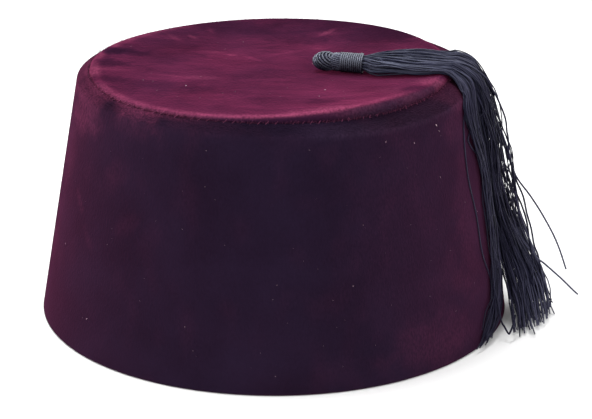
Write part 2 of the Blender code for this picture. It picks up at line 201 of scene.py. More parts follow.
# The head's folds are rings round a slanting axis, open where they turn to the neck.
HEAD_FOLDS = 12
HEAD_AXIS = (0.68, -0.32, 0.66)
HEAD_THREAD_RADIUS = 0.37
FOLD_REACH = 130  # degrees to either side
FOLD_STEPS = 26
FOLD_ENDS = ((4, 1), (5.4, 0.9))  # along the neck, and as a share of its radius
NECK_STRANDS = 26
NECK_RUN = ((2.3, 2.75), (3.2, 3.25), (4.6, 3.45), (6, 3.4), (7.4, 2.9))  # and off it
NECK_TWIST = -0.16
HEAD_CORE_INSET = 0.9
NECK_CORE_RADIUS = 3.2

THREADS = 250
THREAD_RADIUS = 0.25
STRAY_RADIUS = 0.40
FRONT_STRAY_SHARE = 0.68  # how thick the ones seen against the velvet are
THREAD_POINTS = 56
CURVE_STEPS = 10
DETAIL = 2.0  # how much denser a thread's points are at the rim
DETAIL_REACH = 12.0
CLEARANCE = 0.12
CREST_SPREAD = (-10.2, 11.6)  # front and back threads where they cross the rim
CREST_THICKNESS = 2.7
FAN_SWELL = (-1.9, 1.6)  # how far its front and back threads stand out on the top
# From the binding to the rim: how far along, how much of their full breadth the front
# and the back threads have reached, and how far the layers stand apart.
Spread = namedtuple("Spread", "share front back swell")
FAN = (
    Spread(0.14, 0.92, 0.24, 0.5),
    Spread(0.36, 0.98, 0.62, 0.5),
    Spread(0.68, 1.02, 1, 0.1),
)
CROSSING = 2 + len(FAN)  # the station at which threads cross the rim
FOLD = 0.19  # share of the threads that hang against the side
CLEAR = 0.4  # how far the others are off it at least
LOOSE = 0.88  # from this share of the reach on, threads hang loose outside the rest
LOOSE_GAP = 0.33  # how far the others draw in from them, as a share of the reach
LOOSE_BREADTH = 0.38  # over how much of it they wander
LOOSE_HEIGHTS = ((85.0, 73.0), (22.0, 46.0))  # between these, fading at both ends
CHANGE_SIDES = 0.12  # share of the free threads that cross the bundle as they fall
WAVE_SIZE = 0.9
WAVE_LENGTH = 11.0
WAVE_GROWS = 14.0  # past the rim, from its least share
WAVE_LEAST = 0.25
TIP_LOWEST = 0.9
TIP_RANGES = (16.0, 11.0)  # how much higher tips end against the side, and free ones

# Round the rim: the velvet under the threads, as half its oval's length, its depth
# below the seam and how steeply it faces up; the Y of the front thread, of the last
# one that hangs against the side and of the back one; and how far off the top one is.
Turn = namedtuple("Turn", "half drop steepness front fold back rise")
TURNS = (
    Turn(76, -0.7, 70, -12.4, -7.5, 11.8, 4.2),
    Turn(80.8, 2.4, 42, -18.5, -10, 12.3, 5),
)

# Below the rim: the same three Ys, and the X of the free threads' inner and outer
# side, from the top of the fall to the longest threads' tips.
Level = namedtuple("Level", "height front fold back inner outer")
LEVELS = [Level(*row) for row in (
    (96, -24.5, -12.5, 13, 80, 91.2), (90, -24.2, -13, 13.6, 80, 93.4),
    (80, -21.3, -12, 13.6, 84, 96.8), (68, -17.8, -10.5, 13, 87, 100.4),
    (52, -20, -9.5, 12, 90, 103.2), (35, -23, -9, 10, 94.6, 107.6),
    (20, -26.5, -12, 6, 98.6, 114.4), (9, -31, -22, 3, 101.6, 118.2),
    (0.8, -42, -34, 0, 104, 120.6),
)]

# Threads that have come away from the rest, as they lie.
STRAYS = {
    "front": (
        (62, -9.6, 108), (71.5, -10.4, 107.8), (77.2, -14.2, 104.6),
        (79.2, -20.2, 99.4), (79.9, -24.2, 93.8), (80.3, -26, 88.9),
        (81.1, -27.5, 81.1), (83, -28.3, 68.8), (86.6, -26.6, 53.2),
        (89.5, -26.7, 36.8), (93.6, -22.6, 22.6), (94.6, -24.5, 8),
    ),
    "front_loop": (
        (78, -9, 104.6), (84.6, -12.3, 90.6), (83.7, -17.5, 88.5), (82.2, -23.7, 85.2),
        (82.6, -23.6, 82.7), (85.1, -19.3, 77.4), (89, -9.2, 70), (94, -4, 60),
    ),
    "outer_loop": (
        (74, -3, 110), (81.5, -3.5, 108.4), (88.2, -4, 103.6), (91.1, -4, 98.7),
        (93.2, -4, 95.1), (96.6, -4, 87.1), (97.6, -4, 81), (98.2, -4, 78.4),
        (99, -4, 69),
    ),
    "long": (
        (95, -4, 82), (98.4, -4, 73.2), (102, -4, 62.3), (108.2, -4, 53.8),
        (113.2, -4, 46.3), (118.7, -4, 36.7), (122.1, -4, 29), (125, -4, 20.9),
    ),
    "bent": (
        (94.5, -24, 22), (96.5, -26, 15.6), (98.4, -30, 8.6), (100.2, -31.5, 5.8),
        (101.7, -33, 4), (102.4, -32.4, 4.7), (103.4, -30, 6.5), (104.2, -27.5, 10),
    ),
    "low": (
        (102, -6, 56), (104.6, -6, 45.4), (109.3, -6, 34.3), (111.9, -6, 27.2),
        (115.9, -5, 23.4), (123.1, -4, 16.6), (128.1, -3, 11.3), (130.7, -2, 8.5),
    ),
    "pair_outer": (
        (97, -2, 76), (100.3, -4, 66.7), (102.1, -4, 60.6), (105.5, -4, 53.2),
        (107.4, -4, 45.6), (109.5, -4, 39), (111.2, -4, 31.3), (113, -4, 26.8),
        (114.7, -4, 20),
    ),
    "pair_inner": (
        (98, -3, 74), (100.8, -5, 65), (102.3, -5, 56), (105.3, -5, 49),
        (107.6, -5, 42), (109, -5, 34), (111.2, -5, 23.5),
    ),
}


# ---- the crown


def curve_through(before, start, end, after, share):
    """A point between start and end on the smooth curve through all four."""
    return 0.5 * (
        2 * start
        + (end - before) * share
        + (2 * before - 5 * start + 4 * end - after) * share**2
        + (3 * start - before - 3 * end + after) * share**3
    )


def rim_at(azimuth, column):
    place = azimuth / math.tau * len(RIM)
    row = math.floor(place)
    near = [getattr(RIM[(row + step) % len(RIM)], column) for step in (-1, 0, 1, 2)]
    return curve_through(*near, place - row)


def side_half(height):
    return HEM_HALF - SIDE_LEAN * height


Station = namedtuple("Station", "half height shift")


def at(station, azimuth, inset=0.0, drop=0.0):
    """The point of a station at an azimuth, moved in and down."""
    middle_x = SIDE_DRIFT[0] * station.height + SEAM_SHIFT[0] * station.shift
    middle_y = SIDE_DRIFT[1] * station.height + SEAM_SHIFT[1] * station.shift
    x = middle_x + (station.half - inset) * math.cos(azimuth)
    y = middle_y + (station.half * ROUNDNESS - inset) * math.sin(azimuth)
    return Vector((x, y, station.height - drop))


def wall_outline(azimuth):
    """The side's outside from just above the hem to the lip of the seam."""
    seam_height = rim_at(azimuth, "seam_height")
    turn_height = seam_height - SHOULDER_DROP
    crease_height = seam_height - SHOULDER_CREASE
    outline = []
    for row in range(SIDE_ROWS):
        height = HEM_HEIGHT + (turn_height - HEM_HEIGHT) * row / (SIDE_ROWS - 1)
        outline.append(Station(side_half(height), height, 0.0))
    for row in range(1, SHOULDER_ROWS + 1):
        share = row / SHOULDER_ROWS * SHOULDER_REACH
        start, middle, end = (1 - share) ** 2, 2 * share * (1 - share), share**2
        half = start * side_half(turn_height) + middle * side_half(crease_height)
        height = start * turn_height + middle * crease_height + end * seam_height
        outline.append(Station(half + end * SEAM_HALF, height, end))
    return outline


def outward(before, after):
    normal = Vector((after.height - before.height, before.half - after.half))
    return normal.normalized()


def side_section(azimuth):
    """All the way round the side's cut: hem, outside, lip of the seam, inside."""
    outline = wall_outline(azimuth)
    hem = Station(side_half(0.0), 0.0, 0.0)
    seam = Station(SEAM_HALF, rim_at(azimuth, "seam_height"), 1.0)
    points = [at(hem, azimuth, inset, -height) for inset, height in HEM_FOLD]
    points += [at(station, azimuth) for station in outline]
    points += [at(seam, azimuth, inset, depth) for inset, depth in LIP]
    for index in range(len(outline) - 1, -1, -1):
        before = outline[max(index - 1, 0)]
        after = outline[min(index + 1, len(outline) - 1)]
        normal = outward(before, after)
        points.append(at(outline[index], azimuth, CLOTH * normal.x, CLOTH * normal.y))
    for inset, height in HEM_FOLD[:0:-1]:
        points.append(at(hem, azimuth, CLOTH - inset, -height))
    return points


def crest_at(azimuth):
    """The highest station of the rolled edge."""
    height = rim_at(azimuth, "seam_height") + rim_at(azimuth, "roll_rise")
    return Station(SEAM_HALF - SEAM_GAP - rim_at(azimuth, "roll_inset"), height, 1.0)


def top_section(azimuth):
    """From above the top's middle out over the rolled edge and back below."""
    crest = crest_at(azimuth)
    seam_height = rim_at(azimuth, "seam_height")
    edge = Station(SEAM_HALF - SEAM_GAP, seam_height, 1.0)
    dish = []
    for row in range(1, TOP_ROWS):
        share = row / TOP_ROWS
        height = TOP_MIDDLE + (crest.height - TOP_MIDDLE) * share**TOP_DISH
        dish.append(Station(crest.half * share, height, 1.0))
    roll = []
    for row in range(ROLL_ROWS + 1):
        turn = row / ROLL_ROWS * math.pi / 2
        half = crest.half + (edge.half - crest.half) * math.sin(turn)
        height = seam_height + (crest.height - seam_height) * math.cos(turn)
        roll.append(Station(half, height, 1.0))
    points = [at(station, azimuth) for station in dish + roll]
    points.append(at(edge, azimuth, drop=TOP_EDGE_DROP))
    points += [at(station, azimuth, drop=CLOTH) for station in dish[::-1]]
    return points


def round_shell(section_at, closed):
    """A tube of rings, each of whose points is then put on the crown's section."""
    shell = bmesh.new()
    sections = [section_at(math.tau * step / ROUND) for step in range(ROUND)]
    bmesh.ops.create_circle(shell, segments=ROUND, radius=1.0)
    first = list(shell.edges)
    last = first
    for _ in range(1, len(sections[0])):
        grown = bmesh.ops.extrude_edge_only(shell, edges=last)["geom"]
        fresh = {item for item in grown if isinstance(item, bmesh.types.BMVert)}
        edges = [item for item in grown if isinstance(item, bmesh.types.BMEdge)]
        last = [edge for edge in edges if fresh.issuperset(edge.verts)]
        bmesh.ops.translate(shell, vec=(0.0, 0.0, 1.0), verts=list(fresh))
    if closed:
        bmesh.ops.bridge_loops(shell, edges=first + last)
    else:
        for loop in (first, last):
            cap = bmesh.ops.contextual_create(shell, geom=loop)["faces"]
            bmesh.ops.poke(shell, faces=cap)
    middles = [vert for vert in shell.verts if vert.co.xy.length < 0.5]
    for vert in shell.verts:
        if vert.co.xy.length > 0.5:
            step = round(math.atan2(vert.co.y, vert.co.x) / math.tau * ROUND) % ROUND
            vert.co = sections[step][round(vert.co.z)] * MM
    for vert in middles:
        ring = [edge.other_vert(vert).co for edge in vert.link_edges]
        vert.co = sum(ring, Vector()) / len(ring)
    bmesh.ops.recalc_face_normals(shell, faces=shell.faces)
    if shell.calc_volume(signed=True) < 0:
        bmesh.ops.reverse_faces(shell, faces=shell.faces)
    return shell


def placed(name, data):
    """A new object in the scene."""
    made = bpy.data.objects.new(name, data)
    bpy.context.scene.collection.objects.link(made)
    return made


def finished(name, mesh, cad_slot, *finishes):
    """A new piece of the hat from a mesh, with its finishes."""
    data = bpy.data.meshes.new(name)
    mesh.to_mesh(data)
    mesh.free()
    for finish in finishes:
        data.materials.append(finish)
    data.shade_smooth()
    data.set_sharp_from_angle(angle=math.radians(SHARP_ANGLE))
    piece = placed(name, data)
    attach(piece, "root")
    return piece


def blend(start, end, value):
    """0 up to the start, 1 from the end on, and smooth in between."""
    share = min(1.0, max(0.0, (value - start) / (end - start)))
    return share * share * (3 - 2 * share)


def within(value, rising, falling):
    """1 between the two bands, and 0 outside them."""
    return blend(*rising, value) * blend(*falling, value)


def patches_at(patches, across, up, fray):
    """How much lighter the patches make a place."""
    light = 0.0
    for patch in patches:
        heading = math.radians(patch.heading)
        right = across - patch.across
        rise = up - patch.up
        along = (right * math.cos(heading) + rise * math.sin(heading)) / patch.length
        off = (rise * math.cos(heading) - right * math.sin(heading)) / patch.breadth
        light += patch.light * blend(*PATCH_FADE, math.hypot(along, off) + fray)
    return light


def waves_at(place, x, y, z=0.0, start=0.0):
    """Unevenness from -1 to 1, so fine along X, Y and Z."""
    return noise.noise(Vector((place.x * x, place.y * y, place.z * z + start)))


def fray_at(place, coarse, fine, share):
    """How ragged the patches' edges are, in coarse waves and a share of fine ones."""
    ragged = FRAY * noise.noise(place * coarse)
    return ragged + share * FRAY * noise.noise(place * fine)


def pile_of_side(place, normal):
    """The side's pile at a place: a push on the normal, and added colour of pressed
    pile, painted sheen and painted light.
    """
    brushed = waves_at(place, 0.022, 0.022, 0.03)
    fine = waves_at(place, 0.07, 0.07, 0.11, 9.0)
    push = Vector((0.0, 0.0, 0.30 * brushed + 0.14 * fine))
    azimuth = math.atan2(place.y, place.x)
    turn = math.degrees(azimuth)
    below = rim_at(azimuth % math.tau, "seam_height") - place.z
    wall = Vector((place.x, place.y / ROUNDNESS**2, 0.0)).normalized()
    wall.z = SIDE_LEAN
    push += (wall.normalized() - normal) * 0.85 * blend(6.5, 3.2, below)
    fray = fray_at(place, 0.16, 0.45, 0.5)
    light = 0.0
    for lap in (-360.0, 0.0):
        light += patches_at(SIDE_SPREAD, (turn + lap) * DEGREE, place.z, fray)
    crushed = waves_at(place, 0.12, 0.12, 0.07, 4.0)
    light += 0.16 * max(0.0, crushed - 0.12)
    # painted sheen highlight along the shoulder of the front's left half, just below
    # the seam
    light += 0.6 * blend(1.4, 0.7, below) * blend(*LEFT_HALF, turn)
    push.z -= LAID_DOWN * max(0.0, -light)
    # painted light on the right-front shoulder, where the straightened normals take its
    # sheen away
    painted_shoulder_light = within(below, (5.5, 3.5), (0.4, 1.2))
    painted_shoulder_light *= within(turn, (-78.0, -60.0), (2.0, -8.0))
    return push, PRESSED_AND_SHEEN_SIDE * max(0.0, light) + SHOULDER_PAINTED_LIGHT * painted_shoulder_light


def pile_of_top(place, _normal):
    """The same for the top, which was brushed along its length."""
    brushed = waves_at(place, 0.016, 0.035, start=3.0)
    clouds = waves_at(place, 0.045, 0.09, start=5.0)
    streaks = waves_at(place, 0.035, 0.28, start=7.0)
    push = 0.11 * brushed + 0.09 * clouds + 0.03 * streaks
    push -= 0.16 * blend(22.0, 60.0, place.y)
    azimuth = math.atan2(place.y, place.x)
    turn = math.degrees(azimuth)
    x, y = place.x - TOP_CENTRE[0], (place.y - TOP_CENTRE[1]) / ROUNDNESS
    past = Vector((x, y, 0.0)).length - crest_at(azimuth % math.tau).half
    # the crest's bright band: a painted sheen highlight, strongest along the front and
    # on the left
    crest = within(past, (-3.4, -1.4), (2.6 - blend(-60.0, -48.0, turn), 0.3))
    front = within(turn, (-160.0, -148.0), (-24.0, -46.0))
    left = max(blend(120.0, 150.0, turn), blend(-140.0, -160.0, turn))
    light = patches_at(TOP_SPREAD, place.x, place.y, fray_at(place, 0.12, 0.4, 0.6))
    uneven = 0.85 + 0.5 * waves_at(place, 0.2, 0.2, start=1.0)
    front *= 0.9 + 0.5 * within(turn, (-115.0, -80.0), (-50.0, -62.0))
    light += crest * uneven * (front + 0.85 * left * (1 - min(1.0, front)))
    push -= LAID_DOWN * max(0.0, -light)
    # the roll's outer face at the right front: painted light where it faces the camera,
    # and a lean of its pile
    roll = blend(1.0, 2.2, past) * within(turn, (-66.0, -46.0), (-8.0, -18.0))
    # painted sheen highlight on the roll's outer face along the front's left half
    light += 0.5 * blend(0.8, 1.6, past) * blend(*LEFT_HALF, turn)
    lean = Vector((0.3 * push, push - 0.15 * roll, 0.0))
    return lean, PRESSED_AND_SHEEN_TOP * max(0.0, light) + ROLL_PAINTED_LIGHT * roll


def paint_pile(piece, pile_at):
    """Keep how the pile lies on the piece's points, and the colour of pressed pile,
    painted sheen and painted light that it adds, where its velvet reads them.
    """
    lies = [pile_at(vert.co / MM, vert.normal) for vert in piece.data.vertices]
    for column, name in enumerate(("pile_lean", "pile_tone_and_sheen")):
        kept = piece.data.attributes.new(name, "FLOAT_VECTOR", "POINT")
        for index, lie in enumerate(lies):
            kept.data[index].vector = lie[column]


def make_crown(velvet, velvet_top, backing):
    """Side and top, and a tree of their outside in millimetres for what lies on it."""
    side = round_shell(side_section, True)
    top = round_shell(top_section, False)
    points = []
    faces = []
    for shell in (side, top):
        shell.verts.index_update()
        start = len(points)
        points += [vert.co / MM for vert in shell.verts]
        faces += [[start + vert.index for vert in face.verts] for face in shell.faces]
    side_piece = finished("side", side, "velvet_side", velvet, backing)
    for face in side_piece.data.polygons:
        inwards = face.normal.xy.dot(face.center.xy) < 0 or face.normal.z < -0.5
        face.material_index = int(inwards and HEM_HEIGHT < (face.center / MM).z)
    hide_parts("crown_side")
    top_piece = finished("top", top, "velvet_top", velvet_top, backing)
    for face in top_piece.data.polygons:
        face.material_index = int(face.normal.z < -0.3)
    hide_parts("crown_top")
    paint_pile(side_piece, pile_of_side)
    paint_pile(top_piece, pile_of_top)
    return BVHTree.FromPolygons(points, faces)


# ---- threads


def corded(name, lines, radius, cad_slot, thread, sides=6):
    """A piece of round threads along lines of (point, share of the radius)."""
    curve = bpy.data.curves.new(name, "CURVE")
    curve.dimensions = "3D"
    curve.bevel_depth = MM
    curve.bevel_resolution = (sides - 4) // 2
    curve.use_fill_caps = True
    for line in lines:
        spline = curve.splines.new("POLY")
        spline.points.add(len(line) - 1)
        for control, (point, share) in zip(spline.points, line):
            control.co = (*(point * MM), 1.0)
            control.radius = radius * share
    drawn = placed(name, curve)
    graph = bpy.context.evaluated_depsgraph_get()
    mesh = bmesh.new()
    mesh.from_mesh(drawn.evaluated_get(graph).to_mesh())
    bpy.data.objects.remove(drawn, do_unlink=True)
    bpy.data.curves.remove(curve)
    bmesh.ops.remove_doubles(mesh, verts=mesh.verts, dist=0.0000001)
    bmesh.ops.recalc_face_normals(mesh, faces=mesh.faces)
    return finished(name, mesh, cad_slot, thread)


def smooth_line(stations, steps=CURVE_STEPS):
    """Points on the smooth curve through all the stations."""
    ends = [2 * stations[0] - stations[1], 2 * stations[-1] - stations[-2]]
    padded = [ends[0]] + stations + [ends[1]]
    line = []
    for index in range(len(stations) - 1):
        four = padded[index : index + 4]
        line += [curve_through(*four, step / steps) for step in range(steps)]
    return line + [stations[-1]]


def spaced(line, count, detail_at):
    """Points evenly along a line, and closer together round one place."""
    lengths = [0.0]
    for before, after in zip(line, line[1:]):
        off = (before - detail_at).length / DETAIL_REACH
        weight = 1.0 + DETAIL * math.exp(-(off**2))
        lengths.append(lengths[-1] + (after - before).length * weight)
    points = []
    index = 0
    for step in range(count):
        wanted = lengths[-1] * step / (count - 1)
        while index < len(line) - 2 and lengths[index + 1] < wanted:
            index += 1
        share = (wanted - lengths[index]) / (lengths[index + 1] - lengths[index])
        points.append(line[index].lerp(line[index + 1], share))
    return points


def kept_clear(point, margin, skin):
    """The point moved out so that it is at least the margin off the velvet."""
    foot, normal, _, distance = skin.find_nearest(point)
    away = point - foot
    if away.dot(normal) < 0:
        return foot + normal * margin
    if distance < margin:
        return foot + away.normalized() * margin
    return point


def laid_over(line, margin, skin, first=0):
    """The line moved out until its straight stretches clear the velvet as well."""
    points = [point.copy() for point in line]
    for _ in range(3):
        for index in range(first, len(points) - 1):
            for share in (0.0, 0.5, 1.0):
                point = points[index].lerp(points[index + 1], share)
                push = kept_clear(point, margin, skin) - point
                points[index] += push
                points[index + 1] += push
    return points


def groove_at(azimuth):
    """The middle of the seam's groove."""
    return Station(SEAM_HALF - SEAM_GAP / 2, rim_at(azimuth, "seam_height"), 1.0)


def make_stitches(thread, dice):
    """Short slanted stitches that cross the seam, and the row of thread inside it."""
    lines = []
    azimuth = 0.0
    slant = STITCH_SLANT / SEAM_HALF
    while azimuth < math.tau - 0.02:
        groove = groove_at(azimuth)
        wobble = dice.uniform(-STITCH_WOBBLE, STITCH_WOBBLE)
        line = []
        for slants, inset, drop in STITCH:
            drop += 0.0 if slants else wobble
            line.append(at(groove, azimuth + slant * slants, inset, drop))
        reach = line[len(STITCH) // 2].xy.length
        faint = blend(*FAINT_TURN, math.degrees(azimuth - math.tau))
        share = 1.0 - FAINT_STITCHES * faint
        lines.append([(point, share) for point in smooth_line(line, 3)])
        azimuth += STITCH_PITCH * dice.uniform(0.85, 1.15) / reach
    inside = []
    for step in range(ROUND + 1):
        azimuth = math.tau * step / ROUND
        point = at(groove_at(azimuth), azimuth, drop=INSIDE_SEAM_DROP)
        inside.append((point, INSIDE_SEAM_SHARE))
    corded("seam_stitches", [*lines, inside], STITCH_RADIUS, "velvet_top", thread)


def make_fuzz(pile, dice):
    """Loose ends of pile that stand out of the seam."""
    outwards, upwards = FUZZ_LEAN
    lines = []
    for _ in range(FUZZ):
        azimuth = dice.uniform(0.0, math.tau)
        groove = groove_at(azimuth)
        root = at(groove, azimuth, dice.gauss(0.0, 0.25), FUZZ_DEPTH)
        lean = Vector([dice.gauss(0.0, FUZZ_TOUSLE) for _ in range(3)])
        x, y = math.cos(azimuth) * outwards, math.sin(azimuth) * outwards
        lean += Vector((x, y, upwards))
        middle = root + Vector((0.0, 0.0, FUZZ_DEPTH)) + lean * 0.3
        lines.append([(root, 1.0), (middle, 1.0), (middle + lean, 0.6)])
    corded("seam_fuzz", lines, FUZZ_RADIUS, "velvet_top", pile, sides=4)


def make_lint(skin, fibre):
    """Short bent fibres that lie on the velvet."""
    dice = random.Random(SEED)
    bits = [(Vector(place), size) for place, size in LINT.items()]
    for _ in range(MORE_LINT):
        azimuth = dice.uniform(0.0, math.tau)
        if dice.random() < LINT_ON_TOP:
            inside = math.sqrt(dice.random()) * (SEAM_HALF - 6.0)
            place = at(Station(inside, TOP_MIDDLE + 1.0, 1.0), azimuth)
        else:
            height = dice.uniform(2.0, 98.0)
            place = at(Station(side_half(height), height, 0.0), azimuth)
        bits.append((place, dice.uniform(*MORE_LINT_SIZES)))
    lines = []
    for place, size in bits:
        foot, normal, _, _ = skin.find_nearest(place)
        run = Vector([dice.gauss(0.0, 1.0) for _ in range(3)])
        run = normal.cross(run).normalized()
        across = normal.cross(run)
        line = []
        for step in range(4):
            bend = dice.uniform(-LINT_BEND, LINT_BEND)
            lie = (run * (step / 3 - 0.5) + across * bend) * size * LINT_LENGTH
            line.append((foot + lie + normal * (LINT_RADIUS + LINT_CLEARANCE), size))
        lines.append(line)
    corded("lint", lines, LINT_RADIUS, "velvet_top", fibre, sides=4)


def neck_frame():
    """Axes of the neck: along it, level to its back side, and up."""
    heading = math.radians(NECK_HEADING)
    along = Vector((math.cos(heading), math.sin(heading), 0.0))
    sideways = Vector((-math.sin(heading), math.cos(heading), 0.0))
    return along, sideways, along.cross(sideways)


def in_neck(along, sideways, up):
    """The point so far along the neck and off its axis."""
    axes = neck_frame()
    return HEAD_MIDDLE + axes[0] * along + axes[1] * sideways + axes[2] * up


def between(first, last, share):
    return first + (last - first) * share


def lane_y(level, lane):
    """Where a lane hangs at a level, from 0 at the front to 1 at the back."""
    if lane < FOLD:
        return between(level.front, level.fold, lane / FOLD)
    return between(level.fold, level.back, (lane - FOLD) / (1 - FOLD))


def off_the_side(half, y, height, stand_off, skin):
    """The point so far off the velvet at the tassel's end of the hat."""
    sine = (y - SIDE_DRIFT[1] * height) / (half * ROUNDNESS)
    x = SIDE_DRIFT[0] * height + half * math.sqrt(1 - sine**2)
    foot, normal, _, _ = skin.find_nearest(Vector((x, y, height)))
    return foot + normal * stand_off


def neck_stations(lane, layer, dice):
    """Where a thread starts inside the binding, and where it is free of it."""
    room = NECK_RADIUS - THREAD_RADIUS
    turn = math.tau * dice.random()
    off_axis = 0.5 * room * math.sqrt(dice.random())
    sideways = off_axis * math.cos(turn) + (2 * lane - 1) * 1.5
    up = off_axis * math.sin(turn) + (2 * layer - 1) * 1.6
    kept = min(1.0, room / math.hypot(sideways, up))
    sideways, up = sideways * kept, up * kept
    leaves = in_neck(BINDING_END + 0.6, sideways * 1.35, up * 1.2)
    return [in_neck(BINDING_START + 3.0, sideways, up), leaves]


def rim_stations(lane, layer, leaves, dice):
    """The thread's way from the neck over the top, and round the rim."""
    rim_y = between(*CREST_SPREAD, lane)
    azimuth = math.asin(rim_y / (SEAM_HALF * ROUNDNESS))
    crest = at(crest_at(azimuth), azimuth)
    lift = layer * between(0.3, 1.0, min(1.0, lane / FOLD))
    crossing = Vector((crest.x, rim_y, crest.z + 0.5 + CREST_THICKNESS * lift))
    stations = []
    for spread in FAN:
        point = leaves.lerp(crossing, spread.share)
        wide = crossing.y + between(*FAN_SWELL, lane)
        breadth = between(spread.front, spread.back, lane)
        point.y = between(leaves.y, wide, breadth) + dice.gauss(0.0, 0.45)
        rise = spread.swell * (2 * layer - 1) - 0.4 * (1 - layer)
        point.z += rise + dice.gauss(0.0, 0.3)
        stations.append(point)
    crossing += Vector((1.5 * layer, dice.gauss(0.0, 0.3), 0.0))
    stations.append(crossing)
    for turn in TURNS:
        y = lane_y(turn, lane) + dice.gauss(0.0, 0.2)
        azimuth = math.asin(y / (turn.half * ROUNDNESS))
        seam_height = rim_at(azimuth, "seam_height")
        foot = at(Station(turn.half, seam_height, 1.0), azimuth, drop=turn.drop)
        steepness = math.radians(turn.steepness)
        facing = Vector((math.cos(azimuth) * ROUNDNESS, math.sin(azimuth), 0.0))
        facing = facing.normalized() * math.cos(steepness)
        facing.z = math.sin(steepness)
        stations.append(foot + facing * (CLEAR + THREAD_RADIUS + turn.rise * lift))
    return stations


def fall_stations(lane, layer, reach, skin, dice):
    """The thread's way down, against the side or free of it."""
    changes = dice.random() < CHANGE_SIDES
    stations = []
    for level in LEVELS:
        fallen = 1 - level.height / LEVELS[0].height
        drift = dice.gauss(0.0, 0.05) * fallen
        height = max(0.0, level.height + dice.gauss(0.0, 2.0) * fallen)
        half = side_half(height)
        if lane < FOLD:
            y = lane_y(level, min(lane + abs(drift), FOLD * 0.99))
            y += dice.gauss(0.0, 0.4 + 0.7 * fallen)
            stand_off = 0.5 + THREAD_RADIUS + 1.5 * layer
            stations.append(off_the_side(half, y, height, stand_off, skin))
            continue
        place = min(1.0, max(FOLD, lane + drift))
        if changes:
            place = between(place, FOLD + 1 - place, min(1.0, fallen * 1.4))
        share = reach ** between(0.85, 1.0, min(1.0, fallen * 1.5))
        share = between(0.6 * layer + 0.4 * share, share, min(1.0, fallen * 4))
        apart = within(height, *LOOSE_HEIGHTS)
        if reach < LOOSE:
            share *= 1 - LOOSE_GAP * apart
        else:
            share -= LOOSE_BREADTH * apart * dice.random()
        y = lane_y(level, place) + dice.gauss(0.0, 0.2 + 1.2 * fallen)
        y = between(y, level.back, 0.85 * share**2 * fallen)
        x = between(level.inner, level.outer, share) + dice.gauss(0.0, 0.5 * fallen)
        wall = off_the_side(half, y, height, THREAD_RADIUS + CLEAR, skin)
        stations.append(Vector((max(x, wall.x), y, height)))
    return stations


def thread_stations(lane, layer, reach, skin, dice):
    """One thread of the tassel, from inside its neck to its cut tip.

    The lane runs from 0 at the front to 1 at the back, the layer from 0 on the
    velvet to 1 on top, and the reach from 0 against the side to 1 outermost.
    """
    stations = neck_stations(lane, layer, dice)
    stations += rim_stations(lane, layer, stations[-1], dice)
    return stations + fall_stations(lane, layer, reach, skin, dice)


def crinkled(line, number, crossing):
    """The line with the small waves that soft thread keeps, larger where it hangs."""
    points = []
    length = 0.0
    for index, point in enumerate(line):
        if index:
            length += (point - line[index - 1]).length
        grown = min(1.0, max(0.0, (point.x - crossing.x) / WAVE_GROWS))
        size = between(WAVE_LEAST, 1.0, grown)
        start = Vector((number * 5.3, length / WAVE_LENGTH, 0.5))
        points.append(point + noise.noise_vector(start) * size * WAVE_SIZE)
    return [line[0]] + points[1:]


def make_threads(skin, thread):
    """The tassel's threads from the binding over the rim, and the stray ones."""
    dice = random.Random(SEED)
    noise.seed_set(SEED)  # the waves' vectors would otherwise change with the clock
    lines = []
    for number in range(THREADS):
        lane = (number + dice.random()) / THREADS
        layer = dice.random() ** 0.75
        stations = thread_stations(lane, layer, dice.random(), skin, dice)
        line = smooth_line(stations)
        tip = TIP_LOWEST + dice.random() ** 2 * TIP_RANGES[lane > FOLD]
        while line[-2].z < tip:
            line.pop()
        line = spaced(line, THREAD_POINTS, stations[CROSSING])
        line = crinkled(line, number, stations[CROSSING])
        line = laid_over(line, THREAD_RADIUS + CLEARANCE, skin, first=2)
        for point in line:
            point.z = max(point.z, THREAD_RADIUS + CLEARANCE)
        thickness = dice.uniform(0.9, 1.1)
        lines.append([(point, thickness) for point in line])
    piece = corded("tassel_threads", lines, THREAD_RADIUS, "tassel_thread", thread)
    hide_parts("tassel")
    strays = []
    for name, points in STRAYS.items():
        line = smooth_line([Vector(point) for point in points], 6)
        line = laid_over(line, THREAD_RADIUS + CLEARANCE, skin)
        share = FRONT_STRAY_SHARE if name.startswith("front") else 1.0
        strays.append([(point, share) for point in line])
    corded("tassel_strays", strays, STRAY_RADIUS, "tassel_thread", thread)


def fold_end(place):
    """How a fold goes on from a place on the ball, under the neck's strands."""
    off = Vector((place.y, place.z)).normalized() * NECK_RADIUS
    return [in_neck(along, *(off * share)) for along, share in FOLD_ENDS]


